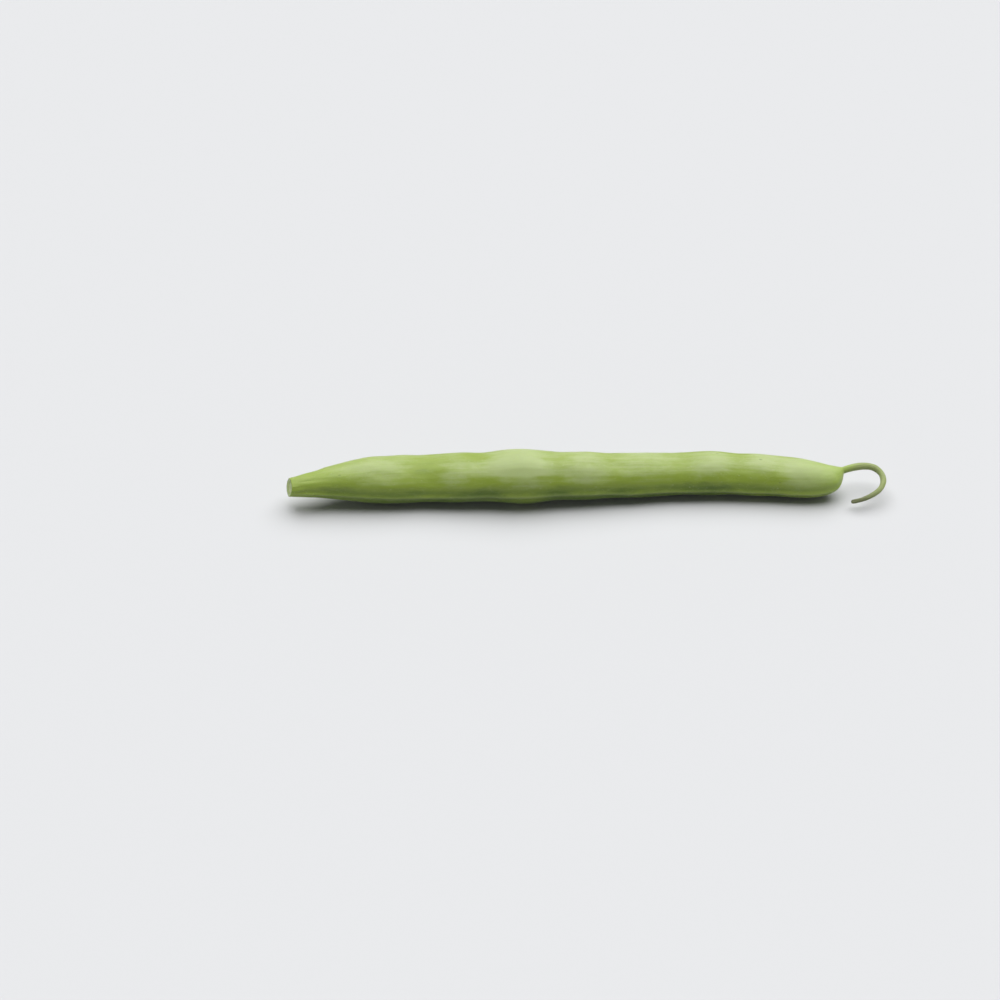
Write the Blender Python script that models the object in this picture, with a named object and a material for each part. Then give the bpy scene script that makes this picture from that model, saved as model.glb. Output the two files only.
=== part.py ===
"""Green bean: one fresh pod as picked, lying on one of its flat sides.

Metres, +Z up. The pod runs along X, with the cut stem end at -X and the tip and its curled tail at +X.
The origin lies on the surface that the bean rests on, under the middle of its bounding box.
The bean grew as one piece, so it is one closed body: a section that is carried along a curved middle
line, and that swells over each seed, has a raised seam on both edges and shrinks into the tail.
"""

import math

import bmesh
import bpy
import numpy as np

MM = 0.001

# Driving dimensions
POD_LENGTH = 136 * MM  # cut stem end to where the tail leaves the tip, measured along X
POD_WIDTH = 12.7 * MM  # seam to seam at the thickest stretch
POD_DEPTH = 10.7 * MM  # flat side to flat side there

# Middle line of the pod: share of its length, and millimetres back and above the surface
POD_LINE = [
    (0.0, -4.2, 5.8),
    (0.103, -1.2, 5.5),
    (0.22, 0.4, 5.03),
    (0.41, 0.4, 6.0),
    (0.617, 2.4, 4.8),
    (0.765, 3.2, 4.6),
    (0.882, 2.1, 4.4),
    (0.949, 2.2, 4.9),
]

# Middle line of the tail: millimetres on from the end of the pod, back and above the surface
TAIL_LINE = [
    (-0.7, 3.8, 6.0),
    (1.4, 4.2, 6.1),
    (3.5, 4.2, 6.0),
    (5.3, 3.5, 5.6),
    (6.3, 1.9, 5.1),
    (6.4, -0.4, 4.5),
    (5.2, -2.5, 3.8),
    (3.2, -3.8, 3.1),
    (1.0, -4.5, 2.5),
    (-1.1, -4.8, 2.1),
]

# Swell of the pod: share of its length, and shares of the full width and depth
SWELL = [
    (0.0, 0.35, 0.39),
    (0.044, 0.52, 0.56),
    (0.103, 0.77, 0.81),
    (0.19, 0.96, 0.96),
    (0.31, 1.0, 0.99),
    (0.43, 1.0, 1.0),
    (0.545, 0.93, 0.93),
    (0.68, 0.88, 0.87),
    (0.82, 0.84, 0.83),
    (0.94, 0.80, 0.79),
    (1.03, 0.76, 0.75),
]

# Seeds: share of the pod's length, half length and rise of the skin in millimetres, and how far that
# rise leans towards the back seam, or towards the front one where it is negative
SEEDS = [
    (0.155, 6.5, 0.30, 0.2),
    (0.294, 6.5, 0.36, 0.2),
    (0.413, 6.0, 1.02, -0.3),
    (0.522, 5.5, 0.34, 0.1),
    (0.620, 5.0, 0.28, 0.2),
    (0.748, 5.0, 0.46, 0.4),
    (0.838, 4.2, 0.32, 0.2),
    (0.905, 4.0, 0.26, 0.2),
]
SEED_RISE_AT_SEAMS = 0.30  # share of the rise that is left where the seams run

# Hollows between the seeds, given as the seeds are, with a depth in place of a rise
HOLLOWS = [
    (0.247, 4.5, 0.32, -0.7),
    (0.336, 4.2, 0.34, 0.8),
    (0.475, 3.8, 0.26, -0.6),
    (0.566, 3.0, 0.20, 0.5),
    (0.692, 3.5, 0.22, -0.6),
    (0.797, 2.8, 0.20, 0.5),
    (0.872, 3.0, 0.14, -0.4),
]

# Seams: a low ridge with a shallow groove on each side of it
SEAM_HEIGHT = 0.34 * MM
SEAM_HALF_ANGLE = math.radians(5.5)
GROOVE_DEPTH = 0.12 * MM
GROOVE_ANGLE = math.radians(17)
GROOVE_HALF_ANGLE = math.radians(8)
SEAM_FADE = 5 * MM  # the seams rise to their full height over this distance from the cut
SEAM_AT_CUT = 0.25  # share of their height at the cut itself

# Roll of the pod about its middle line: the back seam lies higher than the front one
ROLL_AT_STEM = math.radians(9)
ROLL_AT_TIP = math.radians(15)

# Tip: the back edge tapers into the tail, while the front edge stays full and then rounds off
TIP_START = 0.875 * POD_LENGTH
TIP_END = 0.984 * POD_LENGTH
BACK_FULLNESS, BACK_FILLET = 1.7, 1.05
FRONT_FULLNESS, FRONT_FILLET = 11.0, 1.6
SIDE_FULLNESS, SIDE_FILLET = 5.0, 1.3
TAIL_RADIUS_AT_TIP = 0.95 * MM
TAIL_RADIUS_AT_END = 0.48 * MM

# Stem end: a knife cut, a little slanted towards the front and the top, with a dished face
CUT_SLANT_FORWARD = math.radians(2)
CUT_SLANT_UP = math.radians(12)
CUT_SLANT_FADE = 2.5 * MM
CUT_DISH = 0.35 * MM
CUT_RINGS = [(0.78, 0.35), (0.5, 0.8), (0.22, 1.0)]  # shares of the rim's size and of the dish's depth

# The lowest swells are level with each other, and are flattened by this much where the bean lies on them
REST_FLAT = 0.3 * MM

# Mesh
SIDES = 32
SIDE_CROWDING = 0.24  # draws the sides together towards the seams
POD_STEP = 1.35 * MM
TIP_STEP = 0.60 * MM
TAIL_STEP = 0.75 * MM
TAIL_END_RINGS = 2  # rings that round off the end of the tail
LINE_SAMPLES = 4000  # points at which the middle line's own length is measured
TANGENT_STEP = 0.05 * MM

SKIN_COLOUR = (0.34, 0.43, 0.11, 1.0)
SKIN_ROUGHNESS = 0.5


def clear_scene():
    """Removes what the file opened with."""
    for thing in list(bpy.data.objects):
        bpy.data.objects.remove(thing, do_unlink=True)


def smooth_through(stations, values):
    """Natural cubic spline through values at stations, as a function of an array of distances."""
    x = np.asarray(stations, float)
    y = np.asarray(values, float).reshape(len(x), -1)
    gap = np.diff(x)
    slope = np.diff(y, axis=0) / gap[:, None]
    system = np.eye(len(x))
    change = np.zeros_like(y)
    for i in range(1, len(x) - 1):
        system[i, i - 1 : i + 2] = gap[i - 1], 2 * (gap[i - 1] + gap[i]), gap[i]
        change[i] = 6 * (slope[i] - slope[i - 1])
    bend = np.linalg.solve(system, change)

    def at(distances):
        d = np.atleast_1d(np.asarray(distances, float))
        i = np.clip(np.searchsorted(x, d, side="right") - 1, 0, len(x) - 2)
        before, after, width = (d - x[i])[:, None], (x[i + 1] - d)[:, None], gap[i][:, None]
        cubic = (bend[i] * after**3 + bend[i + 1] * before**3) / (6 * width)
        left = (y[i] / width - bend[i] * width / 6) * after
        right = (y[i + 1] / width - bend[i + 1] * width / 6) * before
        return cubic + left + right

    return at


def middle_line():
    """Returns the middle line as a function of distance along it, and its length."""
    pod = [(share * POD_LENGTH, back * MM, up * MM) for share, back, up in POD_LINE]
    tail = [(POD_LENGTH + on * MM, back * MM, up * MM) for on, back, up in TAIL_LINE]
    points = np.array(pod + tail)
    chords = np.concatenate([[0], np.cumsum(np.linalg.norm(np.diff(points, axis=0), axis=1))])
    by_chord = smooth_through(chords, points)
    fine = np.linspace(0, chords[-1], LINE_SAMPLES)
    path = by_chord(fine)
    run = np.concatenate([[0], np.cumsum(np.linalg.norm(np.diff(path, axis=0), axis=1))])

    def at(distances):
        return by_chord(np.interp(distances, run, fine))

    return at, run[-1]


def ring_distances(length):
    """Distances along the middle line at which the section is placed, closer together at the tip."""
    pod = np.linspace(0, TIP_START, round(TIP_START / POD_STEP) + 1)
    tip = np.linspace(TIP_START, TIP_END, round((TIP_END - TIP_START) / TIP_STEP) + 1)[1:]
    tail = np.linspace(TIP_END, length, round((length - TIP_END) / TAIL_STEP) + 1)[1:]
    return np.concatenate([pod, tip, tail])


def section_reach(distances, length):
    """How far the section reaches from the middle line to the back edge, the front edge and the flat sides.

    The pod's swell closes into the slim tail at the tip. The last value is how much of the pod is left.
    """
    swell = smooth_through([s[0] * POD_LENGTH for s in SWELL], [s[1:] for s in SWELL])(distances)
    half_width, half_depth = swell[:, 0] * POD_WIDTH / 2, swell[:, 1] * POD_DEPTH / 2
    into_tip = np.clip((distances - TIP_START) / (TIP_END - TIP_START), 0, 1)
    into_tail = np.clip((distances - TIP_END) / (length - TIP_END), 0, 1)
    tail = TAIL_RADIUS_AT_TIP + (TAIL_RADIUS_AT_END - TAIL_RADIUS_AT_TIP) * into_tail

    def closed(body, fullness, fillet):
        return tail + (body - tail) * (1 - into_tip**fullness) ** fillet

    back = closed(half_width, BACK_FULLNESS, BACK_FILLET)
    front = closed(half_width, FRONT_FULLNESS, FRONT_FILLET)
    side = closed(half_depth, SIDE_FULLNESS, SIDE_FILLET)
    return back, front, side, 1 - into_tip**SIDE_FULLNESS


def seed_rise(distances, angles):
    """How far the skin stands out over the seeds and sinks between them."""
    around = SEED_RISE_AT_SEAMS + (1 - SEED_RISE_AT_SEAMS) * np.sin(angles) ** 2
    swells = SEEDS + [(share, half_length, -depth, lean) for share, half_length, depth, lean in HOLLOWS]
    total = np.zeros((len(distances), len(angles)))
    for share, half_length, rise, lean in swells:
        from_seed = (distances - share * POD_LENGTH) / (half_length * MM)
        along = rise * MM * np.exp(-(from_seed**2))
        total += along[:, None] * (around * (1 + lean * np.cos(angles)))[None, :]
    return total


def seam_rise(angles):
    """Height of the ridge and its grooves over the plain oval, at each angle round the section."""
    from_seam = np.abs(np.arcsin(np.sin(angles)))
    ridge = SEAM_HEIGHT * np.exp(-((from_seam / SEAM_HALF_ANGLE) ** 2))
    groove = GROOVE_DEPTH * np.exp(-(((from_seam - GROOVE_ANGLE) / GROOVE_HALF_ANGLE) ** 2))
    return ridge - groove


def unit(vectors):
    """The same vectors at length 1."""
    return vectors / np.linalg.norm(vectors, axis=-1, keepdims=True)


def section_axes(line, distances, length):
    """Directions of the section: ahead along the line, to the back seam, and to the upper side."""
    ahead = line(np.minimum(distances + TANGENT_STEP, length))
    behind = line(np.maximum(distances - TANGENT_STEP, 0))
    forward = unit(ahead - behind)
    back = unit(np.cross((0, 0, 1), forward))
    up = np.cross(forward, back)
    roll = ROLL_AT_STEM + (ROLL_AT_TIP - ROLL_AT_STEM) * (distances / length)[:, None]
    return forward, np.cos(roll) * back + np.sin(roll) * up, np.cos(roll) * up - np.sin(roll) * back


def skin_rings():
    """All points of the skin, as an array of rings by sides by XYZ."""
    line, length = middle_line()
    distances = ring_distances(length)
    centres = line(distances)
    forward, towards_seam, towards_side = section_axes(line, distances, length)

    turn = np.arange(SIDES) * 2 * math.pi / SIDES
    angles = turn - SIDE_CROWDING * np.sin(2 * turn)
    back_reach, front_reach, side_reach, fullness = (r[:, None] for r in section_reach(distances, length))
    half_width = (back_reach + front_reach) / 2
    normal = unit(np.stack([np.cos(angles) / half_width, np.sin(angles) / side_reach], axis=2))
    seams = np.clip(distances / SEAM_FADE, SEAM_AT_CUT, 1)[:, None] * seam_rise(angles)[None, :]
    rise = (seed_rise(distances, angles) + seams) * fullness
    across = half_width * np.cos(angles) + rise * normal[:, :, 0] + (back_reach - front_reach) / 2
    upward = side_reach * np.sin(angles) + rise * normal[:, :, 1]

    slant = np.exp(-distances / CUT_SLANT_FADE)[:, None]
    shift = slant * (math.tan(CUT_SLANT_FORWARD) * -across + math.tan(CUT_SLANT_UP) * upward)
    return (
        centres[:, None]
        + across[:, :, None] * towards_seam[:, None]
        + upward[:, :, None] * towards_side[:, None]
        + shift[:, :, None] * forward[:, None]
    )


def cut_face_rings(rim, inward):
    """Rings of the dished cut face, from the rim to near the middle, and the middle point."""
    middle = rim.mean(axis=0)
    rings = []
    for share, sink in CUT_RINGS:
        rings.append(middle + (rim - middle) * share + inward * CUT_DISH * sink)
    return rings, middle + inward * CUT_DISH


def tail_end_rings(last, outward):
    """Rings that round off the end of the tail, and its last point."""
    middle = last.mean(axis=0)
    rings = []
    for step in range(1, TAIL_END_RINGS + 1):
        angle = step * (math.pi / 2) / (TAIL_END_RINGS + 1)
        out = outward * TAIL_RADIUS_AT_END * math.sin(angle)
        rings.append(middle + (last - middle) * math.cos(angle) + out)
    return rings, middle + outward * TAIL_RADIUS_AT_END


def settle(points):
    """Stands the bean on the surface, flattens its lowest spots and centres it over the origin."""
    low, high = points.min(axis=0), points.max(axis=0)
    points = points - (*((low + high) / 2)[:2], low[2] + REST_FLAT)
    points[:, 2] = np.maximum(points[:, 2], 0)
    return points


def build_pod():
    """Makes the bean's one closed mesh."""
    skin = skin_rings()
    inward = unit(skin[1].mean(axis=0) - skin[0].mean(axis=0))
    outward = unit(skin[-1].mean(axis=0) - skin[-2].mean(axis=0))
    face_rings, face_middle = cut_face_rings(skin[0], inward)
    end_rings, end_point = tail_end_rings(skin[-1], outward)
    rings = face_rings[::-1] + list(skin) + end_rings
    points = settle(np.concatenate([np.concatenate(rings), [face_middle, end_point]]))

    mesh = bpy.data.meshes.new("pod")
    bm = bmesh.new()
    verts = [bm.verts.new(p) for p in points]
    for ring in range(len(rings) - 1):
        for side in range(SIDES):
            after = (side + 1) % SIDES
            a, b = ring * SIDES + side, ring * SIDES + after
            bm.faces.new((verts[a], verts[b], verts[b + SIDES], verts[a + SIDES]))
    last = (len(rings) - 1) * SIDES
    for side in range(SIDES):
        after = (side + 1) % SIDES
        bm.faces.new((verts[-2], verts[after], verts[side]))
        bm.faces.new((verts[-1], verts[last + side], verts[last + after]))
    bmesh.ops.triangulate(bm, faces=bm.faces, quad_method="SHORT_EDGE")
    bm.to_mesh(mesh)
    bm.free()
    mesh.shade_smooth()
    mesh.set_sharp_from_angle(angle=math.radians(45))

    pod = bpy.data.objects.new("pod", mesh)
    bpy.context.collection.objects.link(pod)
    return pod


def skin_material():
    """Yellowish green, satin skin."""
    material = bpy.data.materials.new("bean_skin")
    material.use_nodes = True
    shader = material.node_tree.nodes["Principled BSDF"]
    shader.inputs["Base Color"].default_value = SKIN_COLOUR
    shader.inputs["Roughness"].default_value = SKIN_ROUGHNESS
    shader.inputs["Metallic"].default_value = 0.0
    return material


def main():
    clear_scene()
    pod = build_pod()
    pod.data.materials.append(skin_material())


main()
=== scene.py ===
"""Green bean: the finished skin, cut face and down of one fresh pod, and a pale studio stage for it.

Metres, +Z up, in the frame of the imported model. The pod runs along X, with the cut stem end at -X and the
tip and its curled tail at +X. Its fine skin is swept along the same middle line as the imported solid.
"""

import math

import bpy
import numpy as np
from bpy.props import FloatProperty, FloatVectorProperty, IntProperty, PointerProperty
from bpy.types import Operator, Panel, PropertyGroup
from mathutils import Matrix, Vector


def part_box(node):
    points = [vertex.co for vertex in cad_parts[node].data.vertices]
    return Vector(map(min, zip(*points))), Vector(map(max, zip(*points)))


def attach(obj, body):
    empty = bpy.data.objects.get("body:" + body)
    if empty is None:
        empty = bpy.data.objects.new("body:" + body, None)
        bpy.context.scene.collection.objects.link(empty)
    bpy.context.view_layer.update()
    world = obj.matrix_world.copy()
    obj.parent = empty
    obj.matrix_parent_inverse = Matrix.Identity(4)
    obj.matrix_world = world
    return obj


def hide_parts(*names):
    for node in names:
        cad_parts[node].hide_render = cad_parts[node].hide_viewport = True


bl_info = {
    "name": "Green Bean",
    "version": (1, 0, 0),
    "blender": (4, 5, 0),
    "location": "3D View > Sidebar > Bean",
    "description": "Makes the skin and the down of one fresh green bean, and a pale stage for it",
    "category": "Add Mesh",
}

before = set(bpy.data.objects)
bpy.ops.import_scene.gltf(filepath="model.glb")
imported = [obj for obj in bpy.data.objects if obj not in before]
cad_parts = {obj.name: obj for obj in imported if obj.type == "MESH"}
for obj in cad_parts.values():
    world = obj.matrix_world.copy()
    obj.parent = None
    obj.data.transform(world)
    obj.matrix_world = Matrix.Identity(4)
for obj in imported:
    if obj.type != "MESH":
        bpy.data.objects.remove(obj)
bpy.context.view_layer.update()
POD_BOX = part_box("pod")

MM = 0.001

# Middle line of the pod: share of its length, and millimetres back and above the surface
POD_LINE = [
    (0.0, -4.2, 5.8),
    (0.103, -1.2, 5.5),
    (0.22, 0.4, 5.03),
    (0.41, 0.4, 6.0),
    (0.617, 2.4, 4.8),
    (0.765, 3.2, 4.6),
    (0.882, 2.1, 4.4),
    (0.949, 2.2, 4.9),
]

# Middle line of the tail: millimetres on from the end of the pod, back and above the surface
TAIL_LINE = [
    (-0.7, 3.8, 6.0),
    (1.4, 4.2, 6.1),
    (3.5, 4.2, 6.0),
    (5.3, 3.5, 5.6),
    (6.3, 1.9, 5.1),
    (6.4, -0.4, 4.5),
    (5.2, -2.5, 3.8),
    (3.2, -3.8, 3.1),
    (1.0, -4.5, 2.5),
    (-1.1, -4.8, 2.1),
]

# Swell of the pod: share of its length, and shares of the full width and depth
SWELL = [
    (0.0, 0.35, 0.39),
    (0.044, 0.52, 0.56),
    (0.103, 0.77, 0.81),
    (0.19, 0.96, 0.96),
    (0.31, 1.0, 0.99),
    (0.43, 1.0, 1.0),
    (0.545, 0.93, 0.93),
    (0.68, 0.88, 0.87),
    (0.82, 0.84, 0.83),
    (0.94, 0.80, 0.79),
    (1.03, 0.76, 0.75),
]

# Seeds: share of the pod's length, half length and rise of the skin in millimetres, and how far that
# rise leans towards the back seam, or towards the front one where it is negative
SEEDS = [
    (0.155, 6.5, 0.30, 0.2),
    (0.294, 6.5, 0.36, 0.2),
    (0.413, 6.0, 1.02, -0.3),
    (0.522, 5.5, 0.34, 0.1),
    (0.620, 5.0, 0.28, 0.2),
    (0.748, 5.0, 0.46, 0.4),
    (0.838, 4.2, 0.32, 0.2),
    (0.905, 4.0, 0.26, 0.2),
]
SEED_RISE_AT_SEAMS = 0.30  # share of the rise that is left where the seams run

# Hollows between the seeds, given as the seeds are, with a depth in place of a rise
HOLLOWS = [
    (0.247, 4.5, 0.32, -0.7),
    (0.336, 4.2, 0.34, 0.8),
    (0.475, 3.8, 0.26, -0.6),
    (0.566, 3.0, 0.20, 0.5),
    (0.692, 3.5, 0.22, -0.6),
    (0.797, 2.8, 0.20, 0.5),
    (0.872, 3.0, 0.14, -0.4),
]

# Seams: a low ridge with a shallow groove on each side of it
SEAM_HALF_ANGLE = math.radians(5.5)
GROOVE_ANGLE = math.radians(17)
GROOVE_HALF_ANGLE = math.radians(8)
SEAM_FADE = 5 * MM  # the seams rise to their full height over this distance from the cut
SEAM_AT_CUT = 0.25  # share of their height at the cut itself

# Roll of the pod about its middle line: the back seam lies higher than the front one
ROLL_AT_STEM = math.radians(9)
ROLL_AT_TIP = math.radians(15)

# Tip: the back edge tapers into the tail, while the front edge stays full and then rounds off
TIP_START_SHARE = 0.875
TIP_END_SHARE = 0.984
BACK_FULLNESS, BACK_FILLET = 1.7, 1.05
FRONT_FULLNESS, FRONT_FILLET = 11.0, 1.6
SIDE_FULLNESS, SIDE_FILLET = 5.0, 1.3
TAIL_RADIUS_AT_TIP = 0.95 * MM
TAIL_RADIUS_AT_END = 0.48 * MM

# Stem end: a knife cut, a little slanted towards the front and the top, with a dished face
CUT_SLANT_FORWARD = math.radians(2)
CUT_SLANT_UP = math.radians(12)
CUT_SLANT_FADE = 2.5 * MM
CUT_DISH = 0.35 * MM
CUT_RIM_RADIUS = 0.16 * MM
CUT_FACE_RINGS = 24
CUT_RIM_RINGS = 6

# The lowest swells are level with each other, and are flattened by this much where the bean lies on them
REST_FLAT = 0.3 * MM

# Mesh
SIDES = 136
SIDE_CROWDING = 0.24  # draws the sides together towards the seams
POD_STEP = 0.28 * MM
TIP_STEP = 0.20 * MM
TAIL_STEP = 0.20 * MM
TAIL_END_RINGS = 8  # rings that round off the end of the tail
LINE_SAMPLES = 4000  # points at which the middle line's own length is measured
TANGENT_STEP = 0.05 * MM
WELD = 0.001 * MM

# Patterns of noise: size of a cell along, across and up the pod in millimetres, the seed that moves the
# pattern, its detail and its roughness
PATTERNS = {
    "broad rises": ((11, 7, 7), 1, 1, 0.5),
    "dimples": ((5, 2.6, 2.6), 7, 1, 0.5),
    "fibres": ((26, 1.4, 1.4), 2, 2, 0.5),
    "fine fibres": ((2.6, 1.3, 1.3), 3, 2, 0.5),
    "folds": ((14, 0.75, 0.75), 4, 1, 0.5),
    "tail knots": ((3, 1.6, 1.6), 5, 1, 0.5),
    "tail ribs": ((7, 0.42, 0.42), 9, 0, 0.5),
    "tail wrinkles": ((0.9, 0.5, 0.5), 10, 1, 0.5),
    "cut grain": ((0.3, 0.3, 0.3), 6, 1, 0.5),
    "down patches": ((9, 4, 4), 8, 1, 0.5),
    "patches": ((14, 5, 5), 11, 3, 0.5),
    "streaks": ((30, 0.9, 0.9), 12, 4, 0.6),
    "mottle": ((3, 1.3, 1.3), 13, 4, 0.65),
    "seam breaks": ((6, 2, 2), 14, 2, 0.5),
    "haze": ((7, 3, 3), 15, 3, 0.5),
    "pores": ((0.6, 0.35, 0.35), 16, 3, 0.5),
    "lines": ((11, 0.55, 0.55), 17, 3, 0.5),
    "ripples": ((1.1, 2.4, 2.4), 18, 2, 0.5),
    "vein bends": ((2, 2, 2), 19, 2, 0.5),
    "vein breaks": ((8, 3, 3), 20, 2, 0.5),
    "ragged ends": ((3, 1, 1), 31, 3, 0.5),
    "tail strands": ((7, 0.32, 0.32), 32, 3, 0.5),
    "flesh grain": ((0.35, 0.35, 0.35), 41, 3, 0.5),
}
SEED_SHIFT = (7.1, 3.3, 5.7)  # how far one step of the seed moves a pattern, in cells

# Relief of the skin, as shares of the unevenness, of the fibre height and of the fold height
DIMPLE_SHARE = 0.45
FINE_FIBRE_SHARE = 0.35
NECK_FOLDS, NECK_FOLD_FADE = 1.2, 8 * MM
TIP_FOLDS, TIP_FOLD_BACK, TIP_FOLD_WIDTH = 0.6, 1.5 * MM, 4.5 * MM
TAIL_KNOTS, TAIL_RIBS = 0.6, 0.75
TAIL_WRINKLES, DRY_WRINKLES = 0.2, 0.5
TAIL_RELIEF_START = 2 * MM  # the tail's relief fades in over this distance on each side of the pod's end
TAIL_DRIES = (14 * MM, 22 * MM)  # distances past the pod's end over which the tail dries out

# Cut face: shares of its radius at which its rings lie, their widths and their heights
FIBRE_RING, FIBRE_RING_WIDTH, FIBRE_HEIGHT = 0.66, 0.10, 0.10 * MM
FIBRE_BUNDLES = 11
SKIN_RING, SKIN_RING_WIDTH, SKIN_RING_HEIGHT = 0.93, 0.04, 0.05 * MM
CUT_GRAIN_HEIGHT = 0.02 * MM

# Down: how thick it stands on the flat sides, with what the seams, the neck and its patches add
DOWN_BASE, DOWN_AT_SEAMS, DOWN_AT_NECK, DOWN_PATCHES = 0.45, 0.35, 0.3, 0.25
DOWN_SEAM_WIDTH = 0.30
DOWN_NECK_FADE = 9 * MM
DOWN_CLEARANCE = (0.5 * MM, 1.2 * MM)  # heights over which the down fades in above the surface
HAIR_LEAN, HAIR_STRAY = 0.55, 0.45  # towards the tip, and at random
HAIR_SIZES = (0.55, 1.25)
HAIR_ROOT = -0.08  # shares of the hair's length: how deep its root lies, and where and how far it bends
HAIR_MIDDLE, HAIR_BEND = 0.6, 0.35
HAIR_TAPER = 0.8
HAIR_STEPS, HAIR_SIDES = 3, 3
HAIR_TONE_WAVES = 900  # waves of lighter and darker hairs, in radians for each metre of the pod
DARKER_HAIR = 0.8

# Tone of the skin: how much each pattern and place lightens it, from 0 for its main green
TONES = {
    "patches": 0.7,
    "streaks": 0.45,
    "mottle": 0.36,
    # paler over the seeds and deeper in the hollows: partly the pod's own colour, partly painted light and
    # shade of the lumps
    "swell": 0.9,
    # painted highlight: the upper side is painted paler
    "painted_highlight": 0.4,
    # painted light: the flank near the tip is painted paler
    "painted light near tip": 0.36,
    # painted shade: the lower side is painted darker
    "shade": -1.15,
}
PLAIN_SWELL = 0.1  # millimetres of rise at which the skin keeps its tone
PALE_TONES, DEEP_TONES = (0.0, 0.9), (0.0, 1.1)  # tones over which the pale and the deep green fade in
# Painted highlight: heights above the middle line over which the upper side is painted paler
PAINTED_HIGHLIGHT_SIDE = (1 * MM, 5 * MM)  # heights above the middle line
# Painted shade: heights over which the painted darkening of the lower side fades out
PAINTED_SHADE_SIDE = (-3.5 * MM, 4 * MM)
SIDE_WAVER = 1 * MM
# Painted light: the skin is painted paler towards the tip
PAINTED_LIGHT_NEAR_TIP = (32 * MM, 14 * MM)  # distances before the pod's end over which the skin turns paler

# Veins, by the cell of their net in millimetres
VEIN_CELL = (5.5, 1.5, 1.5)
VEIN_BEND = 0.5 * MM
VEIN_WIDTH = 0.07
VEIN_BREAKS = (-0.4, 0.5)
VEIN_AMOUNT = 0.17

# Flecks: name of their colour, cell in millimetres, seed, radius in cells, share of cells, and strength
FLECKS = [
    ("pale", 1.5, 21, 0.12, 0.55, 0.55),
    ("deep", 3.2, 23, 0.10, 0.35, 0.45),
    ("tail_end", 6.0, 22, 0.05, 0.35, 0.5),
]
FLECK_STRETCH = 1.6

# Tints of the seams, the ends and the cut face
SEAM_TINT, GROOVE_TINT = 0.45, 0.35
SEAM_BREAKS = 0.3  # share of the seam's tint that comes and goes along it
TINT_NEARNESS = 0.8  # how much closer to the seam the tints lie than its ridge and grooves reach
TINTS_STOP = 3 * MM  # the tints of the seams end over this distance before the pod's end
NECK_TINT, NECK_TINT_FADE = 0.8, 15 * MM
# The tip's paler green is partly its own fresher green and partly painted light
TIP_TINT, TIP_TINT_BACK, TIP_TINT_WIDTH = 0.65, 3 * MM, 8 * MM
TAIL_TINT_START, TAIL_TINT_END = -2.5 * MM, 3 * MM  # from the pod's end
STRAND_TINT, STRAND_GLOW = 0.55, 0.45
DARK_STRANDS, PALE_STRANDS = (0.0, 0.9), (0.1, 0.9)
DRY_TINT, DRY_TINT_LENGTHS = 0.9, (9 * MM, 1 * MM)  # distances before the tail's end
RAGGED = 1.2 * MM
RING_TINT, RING_TINT_WIDTH, FLESH_GRAIN = 0.55, 0.12, 0.15
RIM_TINT, RIM_TINT_SHARES = 0.6, (0.84, 0.95)
HEART_TINT, HEART_WIDTH = 0.5, 0.3

# Finish of the skin
SKIN_FINISH = {
    "Subsurface Weight": 0.22,
    "Subsurface Radius": (0.7, 1.0, 0.25),
    "Subsurface Scale": 1.1 * MM,
    "Specular IOR Level": 0.47,
    "Sheen Weight": 0.18,
    "Sheen Roughness": 0.45,
}
SKIN_ROUGHNESS, HAZE_ROUGHNESS, TAIL_ROUGHNESS, CUT_ROUGHNESS = 0.54, 0.10, 0.14, -0.08
ROUGH_TAIL_START = 5 * MM
PORE_DEPTH, LINE_DEPTH, RIPPLE_DEPTH = 0.010 * MM, 0.014 * MM, 0.014 * MM

# The photograph's camera
SENSOR_WIDTH = 36.0
CAMERA_LENS = 109.5
CAMERA_DISTANCE = 0.7315
CAMERA_ELEVATION = math.radians(36)
CAMERA_AIM = Vector((-20.86, -3.39, 0.83)) * MM

# Stage
KEY_TURN = (math.radians(-18), math.radians(6), 0)  # the broad light's tilt from straight above
ROOM_COLOUR = (0.97, 0.98, 1.0, 1.0)
HORIZON_BAND = (0.13, 0.26)  # sines of the angles over which the pale band along the horizon fades out
FLOOR_LEVEL = -0.01 * MM
FLOOR_FINISH = {"Roughness": 0.85, "Specular IOR Level": 0.2}


class PodSettings(PropertyGroup):
    """Sizes of the pod and of the relief on its skin."""

    length: FloatProperty(
        name="Pod length",
        description="From the cut stem end to where the tail leaves the tip",
        default=136 * MM, min=0.05, max=0.3, unit="LENGTH",
    )
    width: FloatProperty(
        name="Pod width",
        description="From seam to seam at the thickest stretch",
        default=12.7 * MM, min=0.004, max=0.03, unit="LENGTH",
    )
    depth: FloatProperty(
        name="Pod depth",
        description="From one flat side to the other at the thickest stretch",
        default=10.7 * MM, min=0.004, max=0.03, unit="LENGTH",
    )
    seam_height: FloatProperty(
        name="Seam height",
        description="How far the ridge on each edge stands out",
        default=0.34 * MM, min=0.0, max=0.002, unit="LENGTH",
    )
    groove_depth: FloatProperty(
        name="Groove depth",
        description="Depth of the shallow groove on each side of a ridge",
        default=0.12 * MM, min=0.0, max=0.001, unit="LENGTH",
    )
    unevenness: FloatProperty(
        name="Unevenness",
        description="Height of the soft, broad rises and dips of the skin",
        default=0.32 * MM, min=0.0, max=0.001, unit="LENGTH",
    )
    fibre_height: FloatProperty(
        name="Fibre height",
        description="Height of the faint lengthwise fibres under the skin",
        default=0.05 * MM, min=0.0, max=0.001, unit="LENGTH",
    )
    fold_height: FloatProperty(
        name="Fold height",
        description="Height of the lengthwise folds where the pod narrows",
        default=0.16 * MM, min=0.0, max=0.001, unit="LENGTH",
    )
    seed: IntProperty(name="Seed", description="Draws another relief", default=4, min=0, max=999)


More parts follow.
